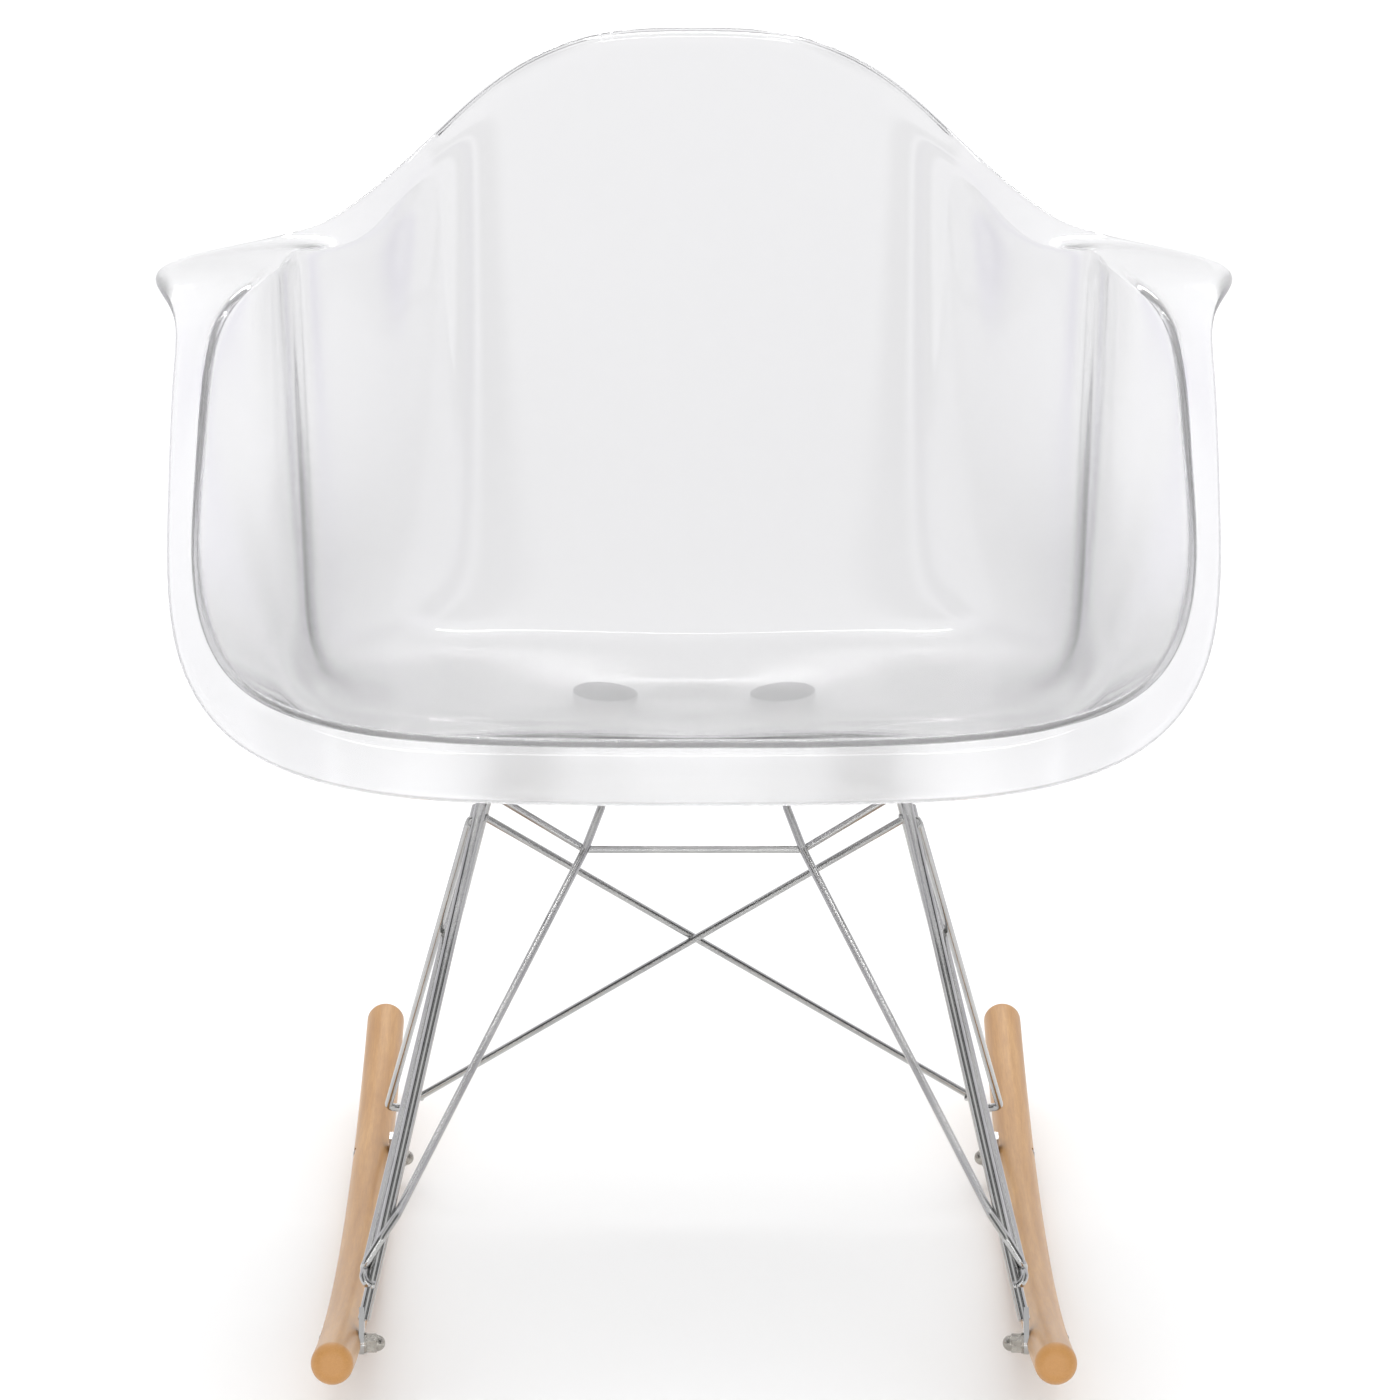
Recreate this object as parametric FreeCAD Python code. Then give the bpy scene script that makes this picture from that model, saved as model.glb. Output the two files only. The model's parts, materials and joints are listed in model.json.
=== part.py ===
"""Rocking armchair: clear moulded seat shell, chromed rod base, two bentwood rockers.

Frame: millimetres, +Z up, the chair faces -Y, its right-hand side (as seen from the front)
is +X.  The origin is on the floor, under the middle of the rockers, where they touch it.
Every piece is written to parts/NODE.step.
"""
import FreeCAD
import Part
import math
import os

from FreeCAD import Vector

os.makedirs("parts", exist_ok=True)

# ---------------------------------------------------------------- driving dimensions
SHELL_THICKNESS = 4.5

ROCKER_DIAMETER = 24.0
ROCKER_LENGTH = 690.0
ROCKER_ARC_RADIUS = 1500.0
ROCKER_X = 202.0
ROCKER_END_ROUND = 7.0
SEAM_TURN = 90.0
ROCKER_FLAT_DEPTH = 1.0
ROCKER_FLAT_DIAMETER = 16.0
COUNTERBORE_DIAMETER = 12.6
COUNTERBORE_DEPTH = 4.5

LEG_ROD = 7.0
BRACE_ROD = 5.0
REAR_ROD = 4.5
LEG_BEND = 16.0
BRACE_BEND = 9.0
HOOK_BEND = 5.0

BOLT_DIAMETER = 6.0
HOLE_DIAMETER = 6.4
WASHER_DIAMETER = 12.0
WASHER_THICKNESS = 1.2
TAB_THICKNESS = 3.0
TAB_WIDTH = 13.0
FRONT_BOLT_Y = -255.0
REAR_BOLT_Y = 140.0
BUTTON_HEAD_DIAMETER = 10.5
BUTTON_HEAD_HEIGHT = 3.3
BUTTON_SOCKET = 4.0
NUT_ACROSS_FLATS = 10.0
NUT_HEX_HEIGHT = 6.0
NUT_DOME_DIAMETER = 9.4
BOLT_INTO_NUT = 8.5

TOP_RUN_Z = 312.0
PLATE_THICKNESS = 3.0
PLATE_LENGTH = 46.0
PLATE_WIDTH = 32.0
FRONT_MOUNT = Vector(100.0, -76.0, TOP_RUN_Z + LEG_ROD / 2)
REAR_MOUNT = Vector(54.0, 85.0, TOP_RUN_Z - LEG_ROD / 2)
MOUNT_TOP_DIAMETER = 40.0
MOUNT_FOOT_DIAMETER = 30.0
INSERT_DIAMETER = 12.0
INSERT_FLANGE = 18.0
INSERT_FLANGE_THICKNESS = 1.5
INSERT_HEIGHT = 9.0
SEAT_SCREW_HEAD = 12.0
SEAT_SCREW_HEAD_HEIGHT = 3.6
SEAT_SCREW_LENGTH = 10.0

# Joints of the rod base, for the +X side; the -X side is its mirror image.
FRONT_FOOT = Vector(188.5, -250.0, 46.0)
FRONT_TOP = Vector(123.7, -96.6, TOP_RUN_Z)
REAR_TOP = Vector(116.5, 44.5, TOP_RUN_Z)
REAR_FOOT = Vector(185.8, 138.5, 27.0)
SPREADER_CORNER = Vector(66.4, 62.0, 240.0)
SPREADER_END = Vector(127.0, 57.0, 279.0)
REAR_BRACE_TOP = Vector(130.0, 60.0, 262.0)
REAR_BRACE_FOOT = Vector(173.5, 126.5, 62.0)

# Routes of the thin rods on the +X side, from the upper end to the lower end.
BRACE_TO_REAR_FOOT = [
    Vector(131.2, -103.0, 300.0),
    Vector(191.0, 122.5, 57.5),
    Vector(178.0, 127.5, 54.5),
]
BRACE_TO_FRONT_FOOT = [
    Vector(132.6, 62.0, 267.0),
    Vector(189.5, -242.5, 66.5),
    Vector(182.0, -240.0, 62.0),
]
STAY_TO_FRONT_FOOT = [
    Vector(56.5, 81.0, 262.0),
    Vector(66.6, 57.6, 240.5),
    Vector(170.3, -221.5, 99.5),
    Vector(178.9, -232.4, 88.9),
    Vector(188.4, -236.5, 74.0),
    Vector(188.8, -228.0, 69.0),
]

# Seat shell.  Each row is one section of the shell, from the front centre round the +X side
# to the back centre: foot (the seat turns into the wall), head (the wall turns into the
# lip) and rim (the free edge of the upper face), each as x, y, z.
SHELL_SECTIONS = [
    ("front_centre", (0, -190, 372), (0, -313, 404), (0, -298, 361)),
    ("front_inner", (95, -190, 371), (110, -311, 405), (110, -297, 362)),
    ("front_outer", (165, -180, 368), (205, -297, 413), (205, -284, 370)),
    ("front_corner", (205, -160, 366), (258, -268, 434), (263, -248, 390)),
    ("lip_low", (222, -130, 365), (277, -240, 475), (291, -222, 432)),
    ("lip_middle", (226, -100, 363), (276, -215, 545), (297, -190, 508)),
    ("lip_high", (227, -75, 361), (268, -176, 610), (296, -150, 573)),
    ("arm_front", (228, -50, 360), (250, -114, 626), (298, -112, 603)),
    ("arm_middle", (228, -10, 358), (238, -20, 624), (313, -42, 614)),
    ("arm_rear", (226, 40, 357), (232, 45, 620), (294, 28, 614)),
    ("shoulder_low", (207, 95, 357), (209, 100, 608), (240, 95, 616)),
    ("shoulder_high", (182, 132, 357), (184, 160, 610), (205, 160, 624)),
    ("back_corner", (148, 152, 357), (157, 232, 638), (166, 240, 648)),
    ("back_outer", (105, 165, 357), (110, 264, 679), (116, 272, 687)),
    ("back_inner", (55, 172, 357), (58, 270, 704), (60, 280, 709)),
    ("back_centre", (0, 174, 357), (0, 270, 708), (0, 281, 713)),
]
SEAT_CENTRE = Vector(0, 30, 335)
SEAT_FLAT_RADIUS = 34.0
FOOT_ROUND = 62.0
HEAD_ROUND = 20.0


# ---------------------------------------------------------------- helpers
def mirrored(shape):
    """The same piece on the other side of the chair."""
    return shape.mirror(Vector(0, 0, 0), Vector(1, 0, 0))


def mirror_point(point):
    return Vector(-point.x, point.y, point.z)


def both_sides(name, shape):
    """A piece and its mirror image, as (node name, shape) pairs."""
    return [(name + "_right", shape), (name + "_left", mirrored(shape))]


def unit(vector):
    return vector * (1.0 / vector.Length)


def along(start, end, t):
    return start + (end - start) * t


def rod_path(points, bend):
    """Straight runs between the points, joined by tangent arcs of radius bend."""
    edges = []
    last = points[0]
    for before, corner, after in zip(points, points[1:], points[2:]):
        into = unit(corner - before)
        out = unit(after - corner)
        half_turn = into.getAngle(out) / 2
        setback = bend * math.tan(half_turn)
        arc_start = corner - into * setback
        arc_end = corner + out * setback
        inward = unit(out - into)
        arc_middle = corner + inward * (bend / math.cos(half_turn) - bend)
        edges.append(Part.LineSegment(last, arc_start).toShape())
        edges.append(Part.Arc(arc_start, arc_middle, arc_end).toShape())
        last = arc_end
    edges.append(Part.LineSegment(last, points[-1]).toShape())
    return Part.Wire(edges)


def rod(points, diameter, bend):
    """A round rod bent along the points."""
    path = rod_path(points, bend)
    start = points[0]
    profile = Part.Wire(Part.makeCircle(diameter / 2, start, points[1] - start))
    return path.makePipeShell([profile], True, True)


def cylinder(start, direction, diameter, length):
    return Part.makeCylinder(diameter / 2, length, start, direction)


def largest(shape):
    return max(shape.Solids, key=lambda solid: solid.Volume)


def lowest(shape):
    return min(shape.Solids, key=lambda solid: solid.CenterOfMass.z)


def coped(shape, *neighbours):
    """The rod with its ends shaped to sit against the rods that it is welded to."""
    for neighbour in neighbours:
        shape = largest(shape.cut(neighbour))
    return shape


# ---------------------------------------------------------------- seat shell
def section_net(section):
    """Control points of one section, from the middle of the seat out to the rim."""
    foot, head, rim = (Vector(*point) for point in section[1:])
    outward = Vector(foot.x - SEAT_CENTRE.x, foot.y - SEAT_CENTRE.y, 0)
    outward.normalize()
    flat_edge = SEAT_CENTRE + outward * SEAT_FLAT_RADIUS
    flat_next = SEAT_CENTRE + outward * (SEAT_FLAT_RADIUS * 2)
    foot_in = foot + unit(flat_next - foot) * FOOT_ROUND
    foot_up = foot + unit(head - foot) * min(FOOT_ROUND, (head - foot).Length * 0.4)
    head_in = head + unit(foot - head) * min(HEAD_ROUND, (head - foot).Length * 0.2)
    head_out = head + (rim - head) * 0.45
    return [
        flat_edge,
        flat_next,
        along(flat_next, foot_in, 0.5),
        foot_in,
        foot,
        foot_up,
        along(foot_up, head_in, 0.5),
        head_in,
        head,
        head_out,
        rim,
    ]


def full_net():
    """All sections round the shell: the +X half and its mirror image."""
    half = [section_net(section) for section in SHELL_SECTIONS]
    other = [[mirror_point(point) for point in column] for column in half[-2:0:-1]]
    return half + other


def offset_net(net, distance):
    """The same net moved outwards, away from the sitter."""
    count = len(net)
    moved = []
    for i, column in enumerate(net):
        before = net[i - 1]
        after = net[(i + 1) % count]
        new_column = []
        for j, point in enumerate(column):
            round_way = after[j] - before[j]
            out_way = column[min(j + 1, len(column) - 1)] - column[max(j - 1, 0)]
            normal = round_way.cross(out_way)
            normal.normalize()
            new_column.append(point + normal * distance)
        moved.append(new_column)
    return moved


def section_parameters(net):
    """Spacing of the sections round the shell, from the girth at the head of the wall."""
    heads = [column[8] for column in net]
    steps = [(b - a).Length ** 0.7 for a, b in zip(heads, heads[1:] + heads[:1])]
    total = sum(steps)
    parameters = [0.0]
    for step in steps:
        parameters.append(parameters[-1] + step / total)
    return parameters


def net_surface(net, parameters):
    """B-spline surface: periodic round the shell, clamped from seat to rim."""
    rings = []
    for j in range(len(net[0])):
        ring = Part.BSplineCurve()
        ring.interpolate(
            Points=[column[j] for column in net], PeriodicFlag=True, Parameters=parameters
        )
        rings.append(ring)
    poles = [[ring.getPole(i + 1) for ring in rings] for i in range(rings[0].NbPoles)]
    spans = len(rings) - 3
    surface = Part.BSplineSurface()
    surface.buildFromPolesMultsKnots(
        poles,
        rings[0].getMultiplicities(),
        [4] + [1] * (spans - 1) + [4],
        rings[0].getKnots(),
        [k / spans for k in range(spans + 1)],
        True,
        False,
        3,
        3,
    )
    return surface


def seat_shell():
    net = full_net()
    parameters = section_parameters(net)
    inner = net_surface(net, parameters)
    outer = net_surface(offset_net(net, SHELL_THICKNESS), parameters)
    faces = [inner.toShape(), outer.toShape()]
    for surface in (inner, outer):
        flat_edge = surface.vIso(0.0).toShape()
        faces.append(Part.Face(Part.Wire(flat_edge)))
    faces.append(Part.makeRuledSurface(inner.vIso(1.0).toShape(), outer.vIso(1.0).toShape()))
    skin = Part.makeShell(faces)
    skin.sewShape()
    solid = Part.makeSolid(skin)
    if solid.Volume < 0:
        solid.reverse()
    return solid


# ---------------------------------------------------------------- rockers
def rocker_z(y):
    """Height of the rocker's centre line above the floor."""
    rise = ROCKER_ARC_RADIUS - math.sqrt(ROCKER_ARC_RADIUS ** 2 - y * y)
    return ROCKER_DIAMETER / 2 + rise


def bolt_point(y):
    return Vector(ROCKER_X, y, rocker_z(y))


def rocker():
    """Round bar along the arc, with rounded ends and seats for its two bolts."""
    end_y = ROCKER_LENGTH / 2 - ROCKER_DIAMETER / 2 * ROCKER_LENGTH / 2 / ROCKER_ARC_RADIUS
    half_angle = math.degrees(math.asin(end_y / ROCKER_ARC_RADIUS))
    arc_centre = Vector(ROCKER_X, 0, rocker_z(0) + ROCKER_ARC_RADIUS)
    circle = Part.makeCircle(ROCKER_DIAMETER / 2, bolt_point(0), Vector(0, 1, 0))
    section = Part.Face(Part.Wire(circle))
    section.rotate(bolt_point(0), Vector(0, 1, 0), SEAM_TURN)
    section.rotate(arc_centre, Vector(1, 0, 0), -half_angle)
    body = section.revolve(arc_centre, Vector(1, 0, 0), 2 * half_angle)
    end_edges = [edge for edge in body.Edges if abs(edge.CenterOfMass.y) > end_y - 1.0]
    body = body.makeFillet(ROCKER_END_ROUND, end_edges)
    for y in (FRONT_BOLT_Y, REAR_BOLT_Y):
        centre = bolt_point(y)
        outer_x = ROCKER_X + ROCKER_DIAMETER / 2
        inner_x = ROCKER_X - ROCKER_DIAMETER / 2
        hole = cylinder(Vector(inner_x - 5, y, centre.z), Vector(1, 0, 0), HOLE_DIAMETER, 40)
        bore_start = Vector(outer_x - COUNTERBORE_DEPTH, y, centre.z)
        counterbore = cylinder(bore_start, Vector(1, 0, 0), COUNTERBORE_DIAMETER, 20)
        flat_start = Vector(inner_x + ROCKER_FLAT_DEPTH, y, centre.z)
        flat = cylinder(flat_start, Vector(-1, 0, 0), ROCKER_FLAT_DIAMETER, 10)
        body = body.cut(hole).cut(counterbore).cut(flat)
    return largest(body)


# ---------------------------------------------------------------- rocker fasteners
TAB_FACE_X = ROCKER_X - ROCKER_DIAMETER / 2 + ROCKER_FLAT_DEPTH
TAB_BACK_X = TAB_FACE_X - TAB_THICKNESS
NUT_FACE_X = TAB_BACK_X - WASHER_THICKNESS
COUNTERBORE_X = ROCKER_X + ROCKER_DIAMETER / 2 - COUNTERBORE_DEPTH


def washer(x, y):
    start = Vector(x, y, rocker_z(y))
    disc = cylinder(start, Vector(1, 0, 0), WASHER_DIAMETER, WASHER_THICKNESS)
    hole = cylinder(start, Vector(1, 0, 0), HOLE_DIAMETER, WASHER_THICKNESS)
    return disc.cut(hole)


def hexagon_prism(start, direction, across_flats, length):
    """A hexagonal bar along +X or -X."""
    corner = across_flats / math.sqrt(3)
    corners = []
    for k in range(7):
        angle = math.radians(60 * k + 30)
        corners.append(start + Vector(0, corner * math.cos(angle), corner * math.sin(angle)))
    return Part.Face(Part.makePolygon(corners)).extrude(direction * length)


def rocker_bolt(y):
    """Socket button-head bolt, put in from the outer side of the rocker."""
    head_x = COUNTERBORE_X + WASHER_THICKNESS
    head_start = Vector(head_x, y, rocker_z(y))
    head = cylinder(head_start, Vector(1, 0, 0), BUTTON_HEAD_DIAMETER, BUTTON_HEAD_HEIGHT)
    rim_edge = max(head.Edges, key=lambda edge: edge.CenterOfMass.x)
    head = head.makeFillet(BUTTON_HEAD_HEIGHT * 0.75, [rim_edge])
    shank_length = head_x - NUT_FACE_X + BOLT_INTO_NUT
    shank = cylinder(head_start, Vector(-1, 0, 0), BOLT_DIAMETER, shank_length)
    tip_edge = min(shank.Edges, key=lambda edge: edge.CenterOfMass.x)
    shank = shank.makeChamfer(0.7, [tip_edge])
    socket_start = Vector(head_x + BUTTON_HEAD_HEIGHT - 2.0, y, rocker_z(y))
    socket = hexagon_prism(socket_start, Vector(1, 0, 0), BUTTON_SOCKET, 5.0)
    return head.fuse(shank).cut(socket).removeSplitter()


def cap_nut(y):
    """Hexagonal nut closed by a dome, on the inner side of the leg tab."""
    start = Vector(NUT_FACE_X, y, rocker_z(y))
    inward = Vector(-1, 0, 0)
    body = hexagon_prism(start, inward, NUT_ACROSS_FLATS, NUT_HEX_HEIGHT)
    end_radius = NUT_ACROSS_FLATS / 2 - 0.05
    wide_radius = end_radius + NUT_HEX_HEIGHT * math.tan(math.radians(60))
    body = body.common(Part.makeCone(wide_radius, end_radius, NUT_HEX_HEIGHT, start, inward))
    dome_centre = start + inward * NUT_HEX_HEIGHT
    dome = Part.makeSphere(NUT_DOME_DIAMETER / 2, dome_centre, inward, 0, 90, 360)
    bore = cylinder(start, inward, BOLT_DIAMETER + 0.1, BOLT_INTO_NUT + 0.5)
    return body.fuse(dome).cut(bore)


def leg_tab(y, rod_end):
    """Flat welded tab between a leg and the rocker, with its bolt hole."""
    centre = Vector(TAB_BACK_X, y, rocker_z(y))
    up = Vector(0, rod_end.y - y, rod_end.z - centre.z)
    reach = up.Length + 7.0
    up.normalize()
    across = Vector(1, 0, 0).cross(up) * (TAB_WIDTH / 2)
    top = centre + up * reach
    corners = [centre - across, centre + across, top + across * 0.75, top - across * 0.75]
    outline = Part.makePolygon(corners + corners[:1])
    plate = Part.Face(outline).extrude(Vector(TAB_THICKNESS, 0, 0))
    end = cylinder(centre, Vector(1, 0, 0), TAB_WIDTH, TAB_THICKNESS)
    hole_start = centre - Vector(1, 0, 0)
    hole = cylinder(hole_start, Vector(1, 0, 0), HOLE_DIAMETER, TAB_THICKNESS + 2)
    return plate.fuse(end).removeSplitter().cut(hole)


# ---------------------------------------------------------------- rod base
def side_frame():
    """Front leg, top run and rear leg: one bent rod."""
    return rod([FRONT_FOOT, FRONT_TOP, REAR_TOP, REAR_FOOT], LEG_ROD, LEG_BEND)


def side_brace(route):
    """Diagonal brace outside a side frame, with a short hook at its lower end."""
    return rod(route, BRACE_ROD, HOOK_BEND)


def front_stay():
    """From under the rear seat mount, past the spreader, hooked round the front leg."""
    top = REAR_MOUNT - Vector(0, 0, LEG_ROD)
    return rod([top] + STAY_TO_FRONT_FOOT, BRACE_ROD, HOOK_BEND)


def rear_brace(side):
    """Diagonal across the back; side is +1 or -1, the side of its upper end."""
    shift = Vector(0, -side * REAR_ROD / 2, 0)
    top = Vector(side * REAR_BRACE_TOP.x, REAR_BRACE_TOP.y, REAR_BRACE_TOP.z) + shift
    foot = Vector(-side * REAR_BRACE_FOOT.x, REAR_BRACE_FOOT.y, REAR_BRACE_FOOT.z) + shift
    return rod([top, foot], REAR_ROD, HOOK_BEND)


def rear_spreader():
    corner = SPREADER_CORNER
    end = SPREADER_END
    points = [mirror_point(end), mirror_point(corner), corner, end]
    return rod(points, REAR_ROD, BRACE_BEND)


def front_cross_rod():
    start = Vector(-FRONT_TOP.x, FRONT_MOUNT.y, TOP_RUN_Z)
    return rod([start, mirror_point(start)], LEG_ROD, LEG_BEND)


def rear_cross_rod():
    """Joins both side frames below their top runs and carries the rear mount plates."""
    z = TOP_RUN_Z - LEG_ROD
    end = Vector(REAR_TOP.x + 1.0, 30.0, z)
    corner = Vector(84.0, REAR_MOUNT.y, z)
    points = [mirror_point(end), mirror_point(corner), corner, end]
    return rod(points, LEG_ROD, LEG_BEND)


# ---------------------------------------------------------------- seat mounts
def mount_plate(base):
    """Rounded steel plate with a hole for the seat screw, welded on the rods."""
    corner = base - Vector(PLATE_LENGTH / 2, PLATE_WIDTH / 2, 0)
    plate = Part.makeBox(PLATE_LENGTH, PLATE_WIDTH, PLATE_THICKNESS, corner)
    upright = [edge for edge in plate.Edges if abs(edge.tangentAt(0).z) > 0.9]
    plate = plate.makeFillet(PLATE_WIDTH * 0.3, upright)
    screw = screw_point(base)
    hole_start = Vector(screw.x, screw.y, base.z - 1)
    hole = cylinder(hole_start, Vector(0, 0, 1), HOLE_DIAMETER, PLATE_THICKNESS + 2)
    return plate.cut(hole)


def screw_point(base):
    """The seat screw stands beside the rod that carries the plate."""
    side = -1 if base.y > 0 else 1
    return base + Vector(0, side * 9.5, PLATE_THICKNESS)


def shock_mount(base, shell):
    """Rubber cushion bonded under the shell, with a hole for the threaded insert."""
    foot = screw_point(base)
    cone = Part.makeCone(MOUNT_FOOT_DIAMETER / 2, MOUNT_TOP_DIAMETER / 2, 16.0, foot)
    above = cylinder(foot + Vector(0, 0, 16.0), Vector(0, 0, 1), MOUNT_TOP_DIAMETER, 25)
    body = lowest(cone.fuse(above).cut(shell))
    body = body.cut(cylinder(foot, Vector(0, 0, 1), INSERT_DIAMETER, INSERT_HEIGHT))
    flange_start = foot + Vector(0, 0, INSERT_HEIGHT - INSERT_FLANGE_THICKNESS)
    flange = cylinder(flange_start, Vector(0, 0, 1), INSERT_FLANGE, INSERT_FLANGE_THICKNESS)
    return body.cut(flange)


def threaded_insert(base):
    """Flanged brass nut moulded into the rubber."""
    foot = screw_point(base)
    body = cylinder(foot, Vector(0, 0, 1), INSERT_DIAMETER, INSERT_HEIGHT)
    flange_start = foot + Vector(0, 0, INSERT_HEIGHT - INSERT_FLANGE_THICKNESS)
    flange = cylinder(flange_start, Vector(0, 0, 1), INSERT_FLANGE, INSERT_FLANGE_THICKNESS)
    bore_depth = SEAT_SCREW_LENGTH - PLATE_THICKNESS + 0.5
    bore = cylinder(foot, Vector(0, 0, 1), BOLT_DIAMETER + 0.1, bore_depth)
    return body.fuse(flange).removeSplitter().cut(bore)


def seat_screw(base):
    """Pan-head screw, put in from below through the plate."""
    plate_foot = screw_point(base) - Vector(0, 0, PLATE_THICKNESS)
    head = cylinder(plate_foot, Vector(0, 0, -1), SEAT_SCREW_HEAD, SEAT_SCREW_HEAD_HEIGHT)
    low_edge = min(head.Edges, key=lambda edge: edge.CenterOfMass.z)
    head = head.makeFillet(SEAT_SCREW_HEAD_HEIGHT * 0.7, [low_edge])
    shank = cylinder(plate_foot, Vector(0, 0, 1), BOLT_DIAMETER, SEAT_SCREW_LENGTH)
    socket_corner = plate_foot - Vector(1.5, 1.5, SEAT_SCREW_HEAD_HEIGHT)
    socket = Part.makeBox(3, 3, 2, socket_corner)
    socket.rotate(plate_foot, Vector(0, 0, 1), 45)
    return head.fuse(shank).cut(socket).removeSplitter()


# ---------------------------------------------------------------- assembly
def build():
    pieces = {}
    shell = seat_shell()
    pieces["seat_shell"] = shell

    frame_right = side_frame()
    frame_left = mirrored(frame_right)
    frames = [frame_right, frame_left]
    pieces["side_frame_rod_right"] = frame_right
    pieces["side_frame_rod_left"] = frame_left
    pieces["front_cross_rod"] = coped(front_cross_rod(), *frames)
    rear_cross = coped(rear_cross_rod(), *frames)
    pieces["rear_cross_rod"] = rear_cross
    spreader = coped(rear_spreader(), *frames)
    pieces["rear_spreader_rod"] = spreader

    brace_back = coped(side_brace(BRACE_TO_REAR_FOOT), frame_right)
    brace_front = coped(side_brace(BRACE_TO_FRONT_FOOT), frame_right, brace_back)
    stay = coped(front_stay(), frame_right, rear_cross, spreader, brace_front)
    pieces.update(both_sides("side_brace_to_rear_foot", brace_back))
    pieces.update(both_sides("side_brace_to_front_foot", brace_front))
    pieces.update(both_sides("front_stay_rod", stay))
    stays = [stay, mirrored(stay)]
    rear_right = coped(rear_brace(1), *frames, spreader, *stays)
    pieces["rear_cross_brace_right"] = rear_right
    pieces["rear_cross_brace_left"] = coped(rear_brace(-1), *frames, spreader, *stays, rear_right)

    pieces.update(both_sides("rocker", rocker()))
    inner_washers = []
    outer_washers = []
    feet = {"front": (FRONT_BOLT_Y, FRONT_FOOT), "rear": (REAR_BOLT_Y, REAR_FOOT)}
    for end, (y, rod_end) in feet.items():
        pieces.update(both_sides(end + "_leg_tab", coped(leg_tab(y, rod_end), frame_right)))
        pieces.update(both_sides(end + "_rocker_bolt", rocker_bolt(y)))
        pieces.update(both_sides(end + "_cap_nut", cap_nut(y)))
        inner = washer(NUT_FACE_X, y)
        outer = washer(COUNTERBORE_X, y)
        inner_washers += [inner, mirrored(inner)]
        outer_washers += [outer, mirrored(outer)]
    pieces["rocker_inner_washers"] = Part.makeCompound(inner_washers)
    pieces["rocker_outer_washers"] = Part.makeCompound(outer_washers)

    for end, base in (("front", FRONT_MOUNT), ("rear", REAR_MOUNT)):
        pieces.update(both_sides(end + "_mount_plate", mount_plate(base)))
        pieces.update(both_sides(end + "_shock_mount", shock_mount(base, shell)))
        pieces.update(both_sides(end + "_threaded_insert", threaded_insert(base)))
        pieces.update(both_sides(end + "_seat_screw", seat_screw(base)))
    return pieces


for name, shape in build().items():
    shape.exportStep("parts/" + name + ".step")
    box = shape.BoundBox
    print(
        f"{name:28s} solids {len(shape.Solids)} valid {shape.isValid()} "
        f"volume {shape.Volume / 1000:8.2f} cm3  z {box.ZMin:6.1f}..{box.ZMax:6.1f}"
    )
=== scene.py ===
"""Looks of the rocking armchair: clear moulded shell, chromed rod base, beech rockers.

Metres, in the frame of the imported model: +Z up, the chair faces -Y, the floor is z = 0.
"""
import json
import math
import random

import bpy
import numpy as np
from mathutils import Matrix, Vector


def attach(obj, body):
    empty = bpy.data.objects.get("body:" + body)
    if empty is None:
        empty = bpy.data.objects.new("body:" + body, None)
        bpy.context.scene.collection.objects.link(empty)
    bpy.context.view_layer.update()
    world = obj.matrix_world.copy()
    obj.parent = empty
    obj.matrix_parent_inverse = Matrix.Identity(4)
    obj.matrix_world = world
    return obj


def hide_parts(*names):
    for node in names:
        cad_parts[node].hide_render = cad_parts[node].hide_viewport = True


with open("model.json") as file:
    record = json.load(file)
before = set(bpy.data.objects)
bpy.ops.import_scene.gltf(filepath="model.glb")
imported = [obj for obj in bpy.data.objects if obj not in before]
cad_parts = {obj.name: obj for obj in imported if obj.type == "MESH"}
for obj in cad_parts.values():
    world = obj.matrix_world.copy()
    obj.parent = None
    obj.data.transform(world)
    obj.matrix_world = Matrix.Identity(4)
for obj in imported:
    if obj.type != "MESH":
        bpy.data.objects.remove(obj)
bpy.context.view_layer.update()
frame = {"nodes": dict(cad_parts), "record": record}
NODES = frame["nodes"]
MM = 0.001

# ---------------------------------------------------------------- seat shell dimensions
# The same sections as the frame's shell, in millimetres: foot, head and rim of the wall,
# from the front centre round the +X side to the back centre.
SHELL_SECTIONS = [
    ("front_centre", (0, -190, 372), (0, -313, 404), (0, -298, 361)),
    ("front_inner", (95, -190, 371), (110, -311, 405), (110, -297, 362)),
    ("front_outer", (165, -180, 368), (205, -297, 413), (205, -284, 370)),
    ("front_corner", (205, -160, 366), (258, -268, 434), (263, -248, 390)),
    ("lip_low", (222, -130, 365), (277, -240, 475), (291, -222, 432)),
    ("lip_middle", (226, -100, 363), (276, -215, 545), (297, -190, 508)),
    ("lip_high", (227, -75, 361), (268, -176, 610), (296, -150, 573)),
    ("arm_front", (228, -50, 360), (250, -114, 626), (298, -112, 603)),
    ("arm_middle", (228, -10, 358), (238, -20, 624), (313, -42, 614)),
    ("arm_rear", (226, 40, 357), (232, 45, 620), (294, 28, 614)),
    ("shoulder_low", (207, 95, 357), (209, 100, 608), (240, 95, 616)),
    ("shoulder_high", (182, 132, 357), (184, 160, 610), (205, 160, 624)),
    ("back_corner", (148, 152, 357), (157, 232, 638), (166, 240, 648)),
    ("back_outer", (105, 165, 357), (110, 264, 679), (116, 272, 687)),
    ("back_inner", (55, 172, 357), (58, 270, 704), (60, 280, 709)),
    ("back_centre", (0, 174, 357), (0, 270, 708), (0, 281, 713)),
]
SEAT_CENTRE = np.array([0.0, 30.0, 335.0])
SEAT_FLAT_RADIUS = 34.0
SHELL_THICKNESS = 4.5
MOUNT_CLEARANCE = 0.25
FOOT_ROUND = 62.0
HEAD_ROUND = 20.0
HEAD_RING = 8
STEPS_ROUND = 288
STEPS_OUT = 84
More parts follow.
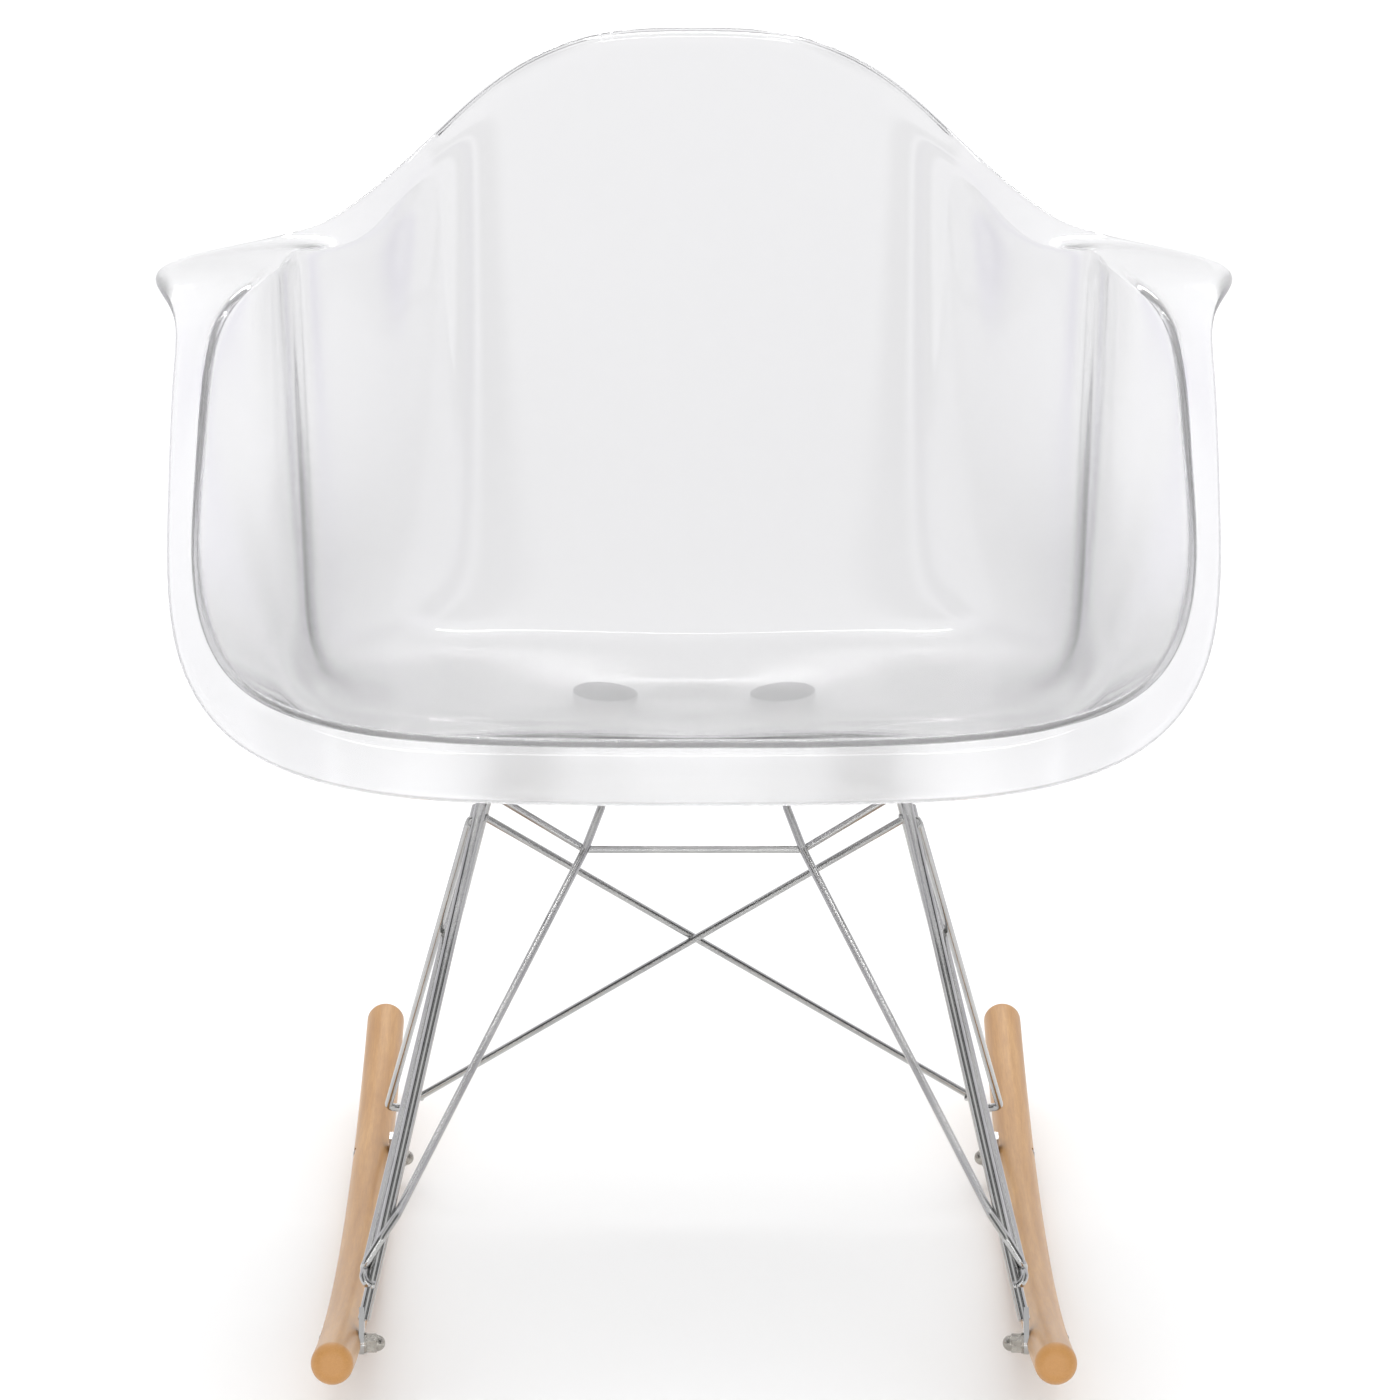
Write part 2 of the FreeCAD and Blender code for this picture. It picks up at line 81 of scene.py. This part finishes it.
RIM_STEPS = 8
DISC_RINGS = 4

# ---------------------------------------------------------------- rocker dimensions
ROCKER_ARC_RADIUS = 1.5
ROCKER_RADIUS = 0.012
WOOD_END = 0.3365

# ---------------------------------------------------------------- studio camera
CAMERA_PLACE = (0.0, -3.88, 1.302)
CAMERA_DOWN_ANGLE = 13.8
CAMERA_LENS = 172.3
CAMERA_SHIFT_X = 0.0043

# ---------------------------------------------------------------- welds
# Where each thin rod is welded to a thicker one, on the +X side, in millimetres:
# the point, the direction of the thin rod and its radius.
ROD_WELDS = [
    ((129.3, -100.8, 300.5), (0.17, 0.64, -0.75), 2.5),
    ((130.9, 60.0, 265.6), (0.15, -0.83, -0.54), 2.5),
    ((180.4, 127.0, 55.0), (-0.95, 0.3, -0.1), 2.5),
    ((184.3, -240.4, 63.6), (-0.85, 0.2, -0.45), 2.5),
    ((124.6, 57.6, 277.6), (0.83, -0.07, 0.53), 2.25),
    ((127.0, 59.5, 260.3), (-0.88, 0.2, -0.6), 2.25),
    ((171.2, 126.3, 63.3), (0.83, 0.17, -0.53), 2.25),
]


# ---------------------------------------------------------------- node helpers
def new_material(name):
    material = bpy.data.materials.new(name)
    material.use_nodes = True
    nodes = material.node_tree.nodes
    shader = nodes["Principled BSDF"]
    return material, material.node_tree, shader


def math_node(tree, operation, first, second=None, third=None, clamp=False):
    node = tree.nodes.new("ShaderNodeMath")
    node.operation = operation
    node.use_clamp = clamp
    for socket, value in zip(node.inputs, (first, second, third)):
        if value is None:
            continue
        if isinstance(value, (int, float)):
            socket.default_value = value
        else:
            tree.links.new(value, socket)
    return node.outputs[0]


def ramp(tree, factor, stops):
    node = tree.nodes.new("ShaderNodeValToRGB")
    elements = node.color_ramp.elements
    while len(elements) < len(stops):
        elements.new(0.5)
    for element, (position, colour) in zip(elements, stops):
        element.position = position
        element.color = (*colour, 1.0)
    tree.links.new(factor, node.inputs[0])
    return node.outputs[0]


def mix_colour(tree, factor, first, second, blend="MIX"):
    node = tree.nodes.new("ShaderNodeMix")
    node.data_type = "RGBA"
    node.blend_type = blend
    sockets = (node.inputs[0], node.inputs[6], node.inputs[7])
    for socket, value in zip(sockets, (factor, first, second)):
        if isinstance(value, (int, float)):
            socket.default_value = value
        elif isinstance(value, tuple):
            socket.default_value = (*value, 1.0)
        else:
            tree.links.new(value, socket)
    return node.outputs[2]


def noise(tree, vector, scale, detail=3.0, roughness=0.5):
    node = tree.nodes.new("ShaderNodeTexNoise")
    node.inputs["Scale"].default_value = scale
    node.inputs["Detail"].default_value = detail
    node.inputs["Roughness"].default_value = roughness
    tree.links.new(vector, node.inputs["Vector"])
    return node.outputs[0]


def object_vector(tree, scale=(1.0, 1.0, 1.0)):
    coordinates = tree.nodes.new("ShaderNodeTexCoord")
    mapping = tree.nodes.new("ShaderNodeMapping")
    mapping.inputs["Scale"].default_value = scale
    tree.links.new(coordinates.outputs["Object"], mapping.inputs["Vector"])
    return mapping.outputs[0]


def add_bump(tree, shader, height, distance, strength=1.0, socket="Normal"):
    bump = tree.nodes.new("ShaderNodeBump")
    bump.inputs["Distance"].default_value = distance
    bump.inputs["Strength"].default_value = strength
    tree.links.new(height, bump.inputs["Height"])
    tree.links.new(bump.outputs[0], shader.inputs[socket])


def vary_roughness(tree, shader, factor, low, high):
    spread = math_node(tree, "MULTIPLY_ADD", factor, high - low, low)
    tree.links.new(spread, shader.inputs["Roughness"])


# ---------------------------------------------------------------- materials
def clear_plastic():
    """Polished clear polycarbonate: a soft, faintly lilac body under a glass-smooth skin; towards
    the front the body is painted near white, painted light that lifts the shade on the lip.
    """
    material, tree, shader = new_material("clear_polycarbonate")
    shader.inputs["Transmission Weight"].default_value = 0.90
    shader.inputs["IOR"].default_value = 1.49
    shader.inputs["Coat Weight"].default_value = 1.0
    shader.inputs["Coat IOR"].default_value = 1.5
    shader.inputs["Coat Roughness"].default_value = 0.012
    place = object_vector(tree)
    split = tree.nodes.new("ShaderNodeSeparateXYZ")
    tree.links.new(place, split.inputs[0])
    height = math_node(tree, "MULTIPLY_ADD", split.outputs[2], 9.0, -3.75, clamp=True)
    cloud = noise(tree, place, 3.0, 2.0)
    tone_and_painted_light = ramp(tree, cloud, [(0.3, (0.855, 0.853, 0.858)), (0.7, (0.865, 0.863, 0.867))])
    # Painted light: the front of the shell is painted near white, lighter than the grey lilac
    # rear, to lift the shade on the lip and lower walls.
    painted_light_blend = math_node(tree, "MULTIPLY_ADD", split.outputs[1], 3.0, 0.4, clamp=True)
    tone_and_painted_light = mix_colour(tree, painted_light_blend, (0.99, 0.99, 0.995), tone_and_painted_light)
    tree.links.new(tone_and_painted_light, shader.inputs["Base Color"])
    wavy = math_node(tree, "MULTIPLY_ADD", noise(tree, place, 14.0, 3.0), 0.02, -0.01)
    body = math_node(tree, "MULTIPLY_ADD", height, -0.19, 0.26)
    tree.links.new(math_node(tree, "ADD", body, wavy), shader.inputs["Roughness"])
    ripple = noise(tree, place, 9.0, 1.0)
    add_bump(tree, shader, ripple, 0.0004, 0.5)
    add_bump(tree, shader, ripple, 0.0006, 0.5, "Coat Normal")
    return material


def chrome():
    """Bright chrome plate with faint polishing marks."""
    material, tree, shader = new_material("chrome_plate")
    shader.inputs["Metallic"].default_value = 1.0
    place = object_vector(tree)
    tone = noise(tree, place, 30.0, 4.0)
    colour = ramp(tree, tone, [(0.35, (0.47, 0.47, 0.47)), (0.65, (0.54, 0.54, 0.53))])
    tree.links.new(colour, shader.inputs["Base Color"])
    vary_roughness(tree, shader, noise(tree, place, 60.0, 3.0), 0.14, 0.20)
    return material


def zinc():
    """Bright zinc plate on the fasteners."""
    material, tree, shader = new_material("zinc_plate")
    shader.inputs["Metallic"].default_value = 1.0
    place = object_vector(tree)
    tone = noise(tree, place, 220.0, 4.0)
    colour = ramp(tree, tone, [(0.35, (0.34, 0.32, 0.29)), (0.65, (0.46, 0.44, 0.40))])
    tree.links.new(colour, shader.inputs["Base Color"])
    vary_roughness(tree, shader, noise(tree, place, 500.0, 3.0), 0.18, 0.34)
    return material


def brass():
    material, tree, shader = new_material("turned_brass")
    shader.inputs["Metallic"].default_value = 1.0
    place = object_vector(tree)
    tone = noise(tree, place, 260.0, 4.0)
    colour = ramp(tree, tone, [(0.35, (0.55, 0.38, 0.15)), (0.65, (0.68, 0.50, 0.23))])
    tree.links.new(colour, shader.inputs["Base Color"])
    vary_roughness(tree, shader, noise(tree, place, 600.0, 3.0), 0.2, 0.4)
    return material


def rubber():
    """Pale translucent rubber of the seat mounts."""
    material, tree, shader = new_material("pale_rubber")
    shader.inputs["Transmission Weight"].default_value = 0.45
    shader.inputs["IOR"].default_value = 1.42
    place = object_vector(tree)
    tone = noise(tree, place, 180.0, 5.0)
    colour = ramp(tree, tone, [(0.3, (0.93, 0.93, 0.94)), (0.7, (0.97, 0.97, 0.98))])
    tree.links.new(colour, shader.inputs["Base Color"])
    vary_roughness(tree, shader, tone, 0.30, 0.40)
    add_bump(tree, shader, noise(tree, place, 500.0, 2.0), 0.00005, 0.5)
    return material


def wood():
    """Clear-lacquered beech whose grain follows the bend of the rocker."""
    material, tree, shader = new_material("lacquered_beech")
    shader.inputs["Coat Weight"].default_value = 0.25
    shader.inputs["Coat Roughness"].default_value = 0.25
    split = tree.nodes.new("ShaderNodeSeparateXYZ")
    tree.links.new(object_vector(tree), split.inputs[0])
    x, y, z = split.outputs
    centre_height = ROCKER_ARC_RADIUS + ROCKER_RADIUS
    below = math_node(tree, "SUBTRACT", centre_height, z)
    angle = math_node(tree, "ARCTAN2", y, below)
    along = math_node(tree, "MULTIPLY", angle, ROCKER_ARC_RADIUS)
    y_squared = math_node(tree, "MULTIPLY", y, y)
    below_squared = math_node(tree, "MULTIPLY", below, below)
    squares = math_node(tree, "ADD", y_squared, below_squared)
    radial = math_node(tree, "SUBTRACT", math_node(tree, "SQRT", squares), ROCKER_ARC_RADIUS)
    fibre = tree.nodes.new("ShaderNodeCombineXYZ")
    tree.links.new(math_node(tree, "MULTIPLY", x, 14.0), fibre.inputs[0])
    tree.links.new(along, fibre.inputs[1])
    tree.links.new(math_node(tree, "MULTIPLY", radial, 14.0), fibre.inputs[2])
    broad = noise(tree, fibre.outputs[0], 9.0, 4.0, 0.55)
    fine = noise(tree, fibre.outputs[0], 60.0, 5.0, 0.65)
    colour = ramp(tree, broad, [
        (0.30, (0.43, 0.215, 0.064)),
        (0.50, (0.495, 0.262, 0.088)),
        (0.70, (0.565, 0.318, 0.120)),
    ])
    streaks = ramp(tree, fine, [(0.40, (0.86, 0.82, 0.76)), (0.60, (1.0, 1.0, 1.0))])
    colour = mix_colour(tree, 0.75, colour, streaks, "MULTIPLY")
    flecks = noise(tree, fibre.outputs[0], 210.0, 2.0, 0.5)
    fleck_mask = math_node(tree, "GREATER_THAN", flecks, 0.66)
    fleck_amount = math_node(tree, "MULTIPLY", fleck_mask, 0.35)
    colour = mix_colour(tree, fleck_amount, colour, (0.36, 0.19, 0.07))
    rings = tree.nodes.new("ShaderNodeTexNoise")
    rings.inputs["Scale"].default_value = 260.0
    rings.inputs["Detail"].default_value = 3.0
    tree.links.new(fibre.outputs[0], rings.inputs["Vector"])
    end_colour = ramp(tree, rings.outputs[0], [
        (0.35, (0.40, 0.185, 0.048)),
        (0.65, (0.50, 0.255, 0.075)),
    ])
    past_end = math_node(tree, "SUBTRACT", math_node(tree, "ABSOLUTE", along), WOOD_END)
    end_mask = math_node(tree, "MULTIPLY", past_end, 140.0, clamp=True)
    colour = mix_colour(tree, end_mask, colour, end_colour)
    tree.links.new(colour, shader.inputs["Base Color"])
    vary_roughness(tree, shader, fine, 0.32, 0.5)
    add_bump(tree, shader, fine, 0.0001, 0.6)
    return material


def floor_white():
    material, tree, shader = new_material("studio_floor")
    shader.inputs["Roughness"].default_value = 0.9
    shader.inputs["Specular IOR Level"].default_value = 0.0
    tone = noise(tree, object_vector(tree), 2.0, 2.0)
    colour = ramp(tree, tone, [(0.3, (0.90, 0.90, 0.90)), (0.7, (0.905, 0.905, 0.905))])
    tree.links.new(colour, shader.inputs["Base Color"])
    return material


def dress(node_name, material):
    mesh = NODES[node_name].data
    mesh.materials.clear()
    mesh.materials.append(material)
    for polygon in mesh.polygons:
        polygon.material_index = 0


# ---------------------------------------------------------------- seat shell
def unit(vector):
    return vector / np.linalg.norm(vector)


def section_net(section):
    """Control points of one section, from the middle of the seat out to the rim."""
    foot, head, rim = (np.array(point, float) for point in section[1:])
    outward = unit(np.array([foot[0] - SEAT_CENTRE[0], foot[1] - SEAT_CENTRE[1], 0.0]))
    flat_edge = SEAT_CENTRE + outward * SEAT_FLAT_RADIUS
    flat_next = SEAT_CENTRE + outward * SEAT_FLAT_RADIUS * 2
    wall = np.linalg.norm(head - foot)
    foot_in = foot + unit(flat_next - foot) * FOOT_ROUND
    foot_up = foot + unit(head - foot) * min(FOOT_ROUND, wall * 0.4)
    head_in = head + unit(foot - head) * min(HEAD_ROUND, wall * 0.2)
    head_out = head + (rim - head) * 0.45
    return [
        flat_edge,
        flat_next,
        (flat_next + foot_in) / 2,
        foot_in,
        foot,
        foot_up,
        (foot_up + head_in) / 2,
        head_in,
        head,
        head_out,
        rim,
    ]


def full_net():
    """Sections round the whole shell, as an array [section, ring, xyz]."""
    half = np.array([section_net(section) for section in SHELL_SECTIONS])
    other = half[-2:0:-1] * np.array([-1.0, 1.0, 1.0])
    return np.concatenate([half, other])


def periodic_spline(points, knots, samples):
    """Smooth closed curve through points at knots (one more knot than points)."""
    count = len(points)
    steps = np.diff(knots)
    system = np.zeros((count, count))
    target = np.zeros((count,) + points.shape[1:])
    for i in range(count):
        before = steps[i - 1]
        after = steps[i]
        system[i, i - 1] += before
        system[i, i] += 2 * (before + after)
        system[i, (i + 1) % count] += after
        rise = (points[(i + 1) % count] - points[i]) / after
        target[i] = 6 * (rise - (points[i] - points[i - 1]) / before)
    bends = np.linalg.solve(system, target.reshape(count, -1)).reshape(target.shape)
    curve = []
    for sample in samples:
        i = min(int(np.searchsorted(knots, sample, side="right")) - 1, count - 1)
        j = (i + 1) % count
        width = steps[i]
        right = (sample - knots[i]) / width
        left = 1 - right
        bulge = ((left ** 3 - left) * bends[i] + (right ** 3 - right) * bends[j]) * width ** 2 / 6
        curve.append(left * points[i] + right * points[j] + bulge)
    return np.array(curve)


def clamped_basis(count, samples):
    """Cubic B-spline basis, clamped at both ends: array [sample, control point]."""
    spans = count - 3
    knots = np.concatenate([[0.0] * 3, np.arange(spans + 1) / spans, [1.0] * 3])
    table = np.zeros((len(samples), len(knots) - 1))
    for row, sample in enumerate(samples):
        span = min(int(sample * spans), spans - 1) + 3
        table[row, span] = 1.0
    for degree in range(1, 4):
        new = np.zeros_like(table)
        for i in range(len(knots) - 1 - degree):
            rise = knots[i + degree] - knots[i]
            fall = knots[i + degree + 1] - knots[i + 1]
            if rise > 0:
                new[:, i] += (samples - knots[i]) / rise * table[:, i]
            if fall > 0:
                new[:, i] += (knots[i + degree + 1] - samples) / fall * table[:, i + 1]
        table = new
    return table[:, :count]


def shell_surface():
    """Upper surface of the shell as a grid [round, out, xyz], in millimetres."""
    net = full_net()
    heads = net[:, HEAD_RING]
    steps = np.linalg.norm(np.roll(heads, -1, axis=0) - heads, axis=1) ** 0.7
    knots = np.concatenate([[0.0], np.cumsum(steps)]) / steps.sum()
    rings = periodic_spline(net, knots, np.arange(STEPS_ROUND) / STEPS_ROUND)
    outward = np.linspace(0.0, 1.0, STEPS_OUT + 1)
    basis = clamped_basis(net.shape[1], outward)
    return np.einsum("vj,ujk->uvk", basis, rings)


def grid_normals(grid):
    """Unit normals that point away from the sitter."""
    round_way = np.roll(grid, -1, axis=0) - np.roll(grid, 1, axis=0)
    out_way = np.gradient(grid, axis=1)
    normals = np.cross(round_way, out_way)
    return normals / np.linalg.norm(normals, axis=2, keepdims=True)


def mesh_object(name, vertices, faces, material):
    mesh = bpy.data.meshes.new(name)
    mesh.from_pydata([tuple(v) for v in vertices], [], faces)
    mesh.validate()
    mesh.update()
    mesh.materials.append(material)
    mesh.shade_smooth()
    piece = bpy.data.objects.new(name, mesh)
    bpy.context.scene.collection.objects.link(piece)
    return piece


def build_shell(material):
    """Constant-thickness skin with a rounded rim, closed round the middle of the seat."""
    inner = shell_surface()
    normals = grid_normals(inner)
    half = SHELL_THICKNESS / 2
    edge_way = inner[:, -1] - inner[:, -2]
    edge_way /= np.linalg.norm(edge_way, axis=1, keepdims=True)
    inner[:, -1] -= edge_way * half
    outer = inner + normals * (SHELL_THICKNESS - MOUNT_CLEARANCE)
    centre = (inner[:, -1] + outer[:, -1]) / 2
    upward = (inner[:, -1] - outer[:, -1]) / 2
    rim = []
    for k in range(1, RIM_STEPS):
        turn = math.pi * k / RIM_STEPS
        rim.append(centre + upward * math.cos(turn) + edge_way * half * math.sin(turn))
    columns = []
    top_middle = SEAT_CENTRE
    low_middle = SEAT_CENTRE - np.array([0, 0, SHELL_THICKNESS])
    for k in range(1, DISC_RINGS):
        columns.append(top_middle + (inner[:, 0] - top_middle) * k / DISC_RINGS)
    columns += [inner[:, j] for j in range(inner.shape[1])]
    columns += rim
    columns += [outer[:, j] for j in range(outer.shape[1] - 1, -1, -1)]
    for k in range(DISC_RINGS - 1, 0, -1):
        columns.append(low_middle + (outer[:, 0] - low_middle) * k / DISC_RINGS)
    rows = len(columns)
    vertices = np.concatenate(columns) * MM
    vertices = np.concatenate([vertices, [top_middle * MM, low_middle * MM]])
    faces = []
    for i in range(STEPS_ROUND):
        j = (i + 1) % STEPS_ROUND
        for k in range(rows - 1):
            here = k * STEPS_ROUND
            there = (k + 1) * STEPS_ROUND
            faces.append((here + i, there + i, there + j, here + j))
        last = (rows - 1) * STEPS_ROUND
        faces.append((rows * STEPS_ROUND, i, j))
        faces.append((rows * STEPS_ROUND + 1, last + j, last + i))
    return mesh_object("clear_seat_shell", vertices, faces, material)


# ---------------------------------------------------------------- welds
def weld_ring(name, place, direction, rod_radius, material, seed):
    """Lumpy collar of weld metal where a thin rod meets a thicker one."""
    chooser = random.Random(seed)
    way = Vector(direction).normalized()
    turn = way.to_track_quat("Z", "Y").to_matrix().to_4x4()
    place_matrix = Matrix.Translation(Vector(place) * MM) @ turn
    around = 28
    across = 10
    ring_radius = (rod_radius + 0.3) * MM
    lumps = [chooser.uniform(0.8, 1.25) for _ in range(7)]
    vertices = []
    faces = []
    for i in range(around):
        angle = 2 * math.pi * i / around
        position = len(lumps) * i / around
        low = int(position)
        blend = (1 - math.cos(math.pi * (position - low))) / 2
        lump = lumps[low] * (1 - blend) + lumps[(low + 1) % len(lumps)] * blend
        for j in range(across):
            tilt = 2 * math.pi * j / across
            reach = ring_radius + 0.95 * MM * lump * math.cos(tilt)
            height = 1.25 * MM * lump * math.sin(tilt)
            point = Vector((reach * math.cos(angle), reach * math.sin(angle), height))
            vertices.append(place_matrix @ point)
            after = (i + 1) % around
            side = (j + 1) % across
            here = i * across
            there = after * across
            faces.append((here + j, there + j, there + side, here + side))
    return mesh_object(name, vertices, faces, material)


def build_welds(material):
    for number, (place, direction, radius) in enumerate(ROD_WELDS):
        for side, word in ((1, "right"), (-1, "left")):
            spot = (place[0] * side, place[1], place[2])
            way = (direction[0] * side, direction[1], direction[2])
            name = f"weld_bead_{number + 1}_{word}"
            bead = weld_ring(name, spot, way, radius, material, number * 2 + side)
            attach(bead, "root")


# ---------------------------------------------------------------- studio
def area_light(name, location, target, size, power, mirrored=True):
    light = bpy.data.lights.new(name, "AREA")
    light.shape = "RECTANGLE"
    light.size, light.size_y = size
    light.energy = power
    lamp = bpy.data.objects.new(name, light)
    lamp.location = location
    aim = Vector(target) - Vector(location)
    lamp.rotation_euler = aim.to_track_quat("-Z", "Y").to_euler()
    lamp.visible_camera = False
    lamp.visible_glossy = mirrored
    lamp.visible_transmission = mirrored
    bpy.context.scene.collection.objects.link(lamp)


def studio_world():
    """White backdrop; what the chair mirrors is a bright room with darker sides."""
    world = bpy.data.worlds.new("studio")
    world.use_nodes = True
    bpy.context.scene.world = world
    tree = world.node_tree
    background = tree.nodes["Background"]
    coordinates = tree.nodes.new("ShaderNodeTexCoord")
    split = tree.nodes.new("ShaderNodeSeparateXYZ")
    tree.links.new(coordinates.outputs["Generated"], split.inputs[0])
    side = math_node(tree, "ABSOLUTE", split.outputs[0])
    seen_through = ramp(tree, side, [
        (0.0, (1.06, 1.06, 1.07)),
        (0.58, (1.06, 1.06, 1.07)),
        (0.68, (0.68, 0.64, 0.84)),
        (0.76, (1.06, 1.06, 1.08)),
    ])
    mirrored = ramp(tree, side, [
        (0.0, (0.85, 0.85, 0.86)),
        (0.25, (0.82, 0.82, 0.82)),
        (0.38, (0.10, 0.10, 0.10)),
        (0.52, (0.04, 0.04, 0.04)),
        (0.60, (0.85, 0.85, 0.85)),
        (0.66, (0.05, 0.05, 0.05)),
        (0.84, (0.05, 0.05, 0.05)),
        (0.90, (0.90, 0.90, 0.91)),
    ])
    behind = ramp(tree, side, [(0.30, (0.92, 0.92, 0.93)), (0.55, (0.86, 0.85, 0.89))])
    towards_back = math_node(tree, "MULTIPLY_ADD", split.outputs[1], 5.0, 0.5, clamp=True)
    mirrored = mix_colour(tree, towards_back, mirrored, behind)
    path = tree.nodes.new("ShaderNodeLightPath")
    colour = mix_colour(tree, path.outputs["Is Glossy Ray"], (1.15, 1.15, 1.15), mirrored)
    colour = mix_colour(tree, path.outputs["Is Transmission Ray"], colour, seen_through)
    tree.links.new(colour, background.inputs["Color"])


def build_floor():
    """Round white floor, only as wide as the studio paper round the chair."""
    rings = [0.0, 0.22, 0.42, 0.62]
    around = 96
    vertices = [(0.0, 0.0, 0.0)]
    faces = []
    for ring in rings[1:]:
        for i in range(around):
            angle = 2 * math.pi * i / around
            vertices.append((ring * math.cos(angle), ring * math.sin(angle), 0.0))
    for i in range(around):
        j = (i + 1) % around
        faces.append((0, 1 + i, 1 + j))
        for k in range(len(rings) - 2):
            low = 1 + k * around
            high = low + around
            faces.append((low + i, high + i, high + j, low + j))
    floor = mesh_object("studio_floor", vertices, faces, floor_white())


def build_lights():
    area_light("overhead_fill", (0.0, 0.1, 2.4), (0.0, 0.0, 0.3), (1.6, 1.2), 7.5, mirrored=False)
    area_light("back_strip_high", (0.0, 0.8, 2.2), (0.0, 0.0, 0.4), (1.5, 0.10), 4.0)
    area_light("back_strip_low", (0.0, 2.0, 1.6), (0.0, 0.0, 0.4), (1.5, 0.10), 4.0)
    area_light("front_strip", (0.0, -2.2, 0.6), (0.0, -0.3, 0.4), (3.0, 0.05), 4.0)
    area_light("lip_strip", (0.0, -0.90, 0.02), (0.0, -0.3, 0.39), (1.8, 0.03), 0.8)


def build_camera():
    camera_data = bpy.data.cameras.new("camera")
    camera_data.sensor_width = 36.0
    camera_data.lens = CAMERA_LENS
    camera_data.shift_x = CAMERA_SHIFT_X
    camera_data.clip_end = 50.0
    camera = bpy.data.objects.new("camera", camera_data)
    camera.location = CAMERA_PLACE
    camera.rotation_euler = (math.radians(90 - CAMERA_DOWN_ANGLE), 0.0, 0.0)
    bpy.context.scene.collection.objects.link(camera)
    bpy.context.scene.camera = camera


# ---------------------------------------------------------------- assembly
def dress_frame(chromed):
    materials = {
        "chromed_steel": chromed,
        "beech": wood(),
        "mount_rubber": rubber(),
        "brass_insert": brass(),
        "zinc_fasteners": zinc(),
    }
    for part in frame["record"]["subparts"]:
        if part["material_slot"] in materials:
            dress(part["node"], materials[part["material_slot"]])


chromed_steel = chrome()
dress_frame(chromed_steel)
shell = build_shell(clear_plastic())
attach(shell, "root")
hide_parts("seat_shell")
build_welds(chromed_steel)
build_floor()
build_lights()
studio_world()
build_camera()
bpy.context.scene.view_settings.view_transform = "Standard"
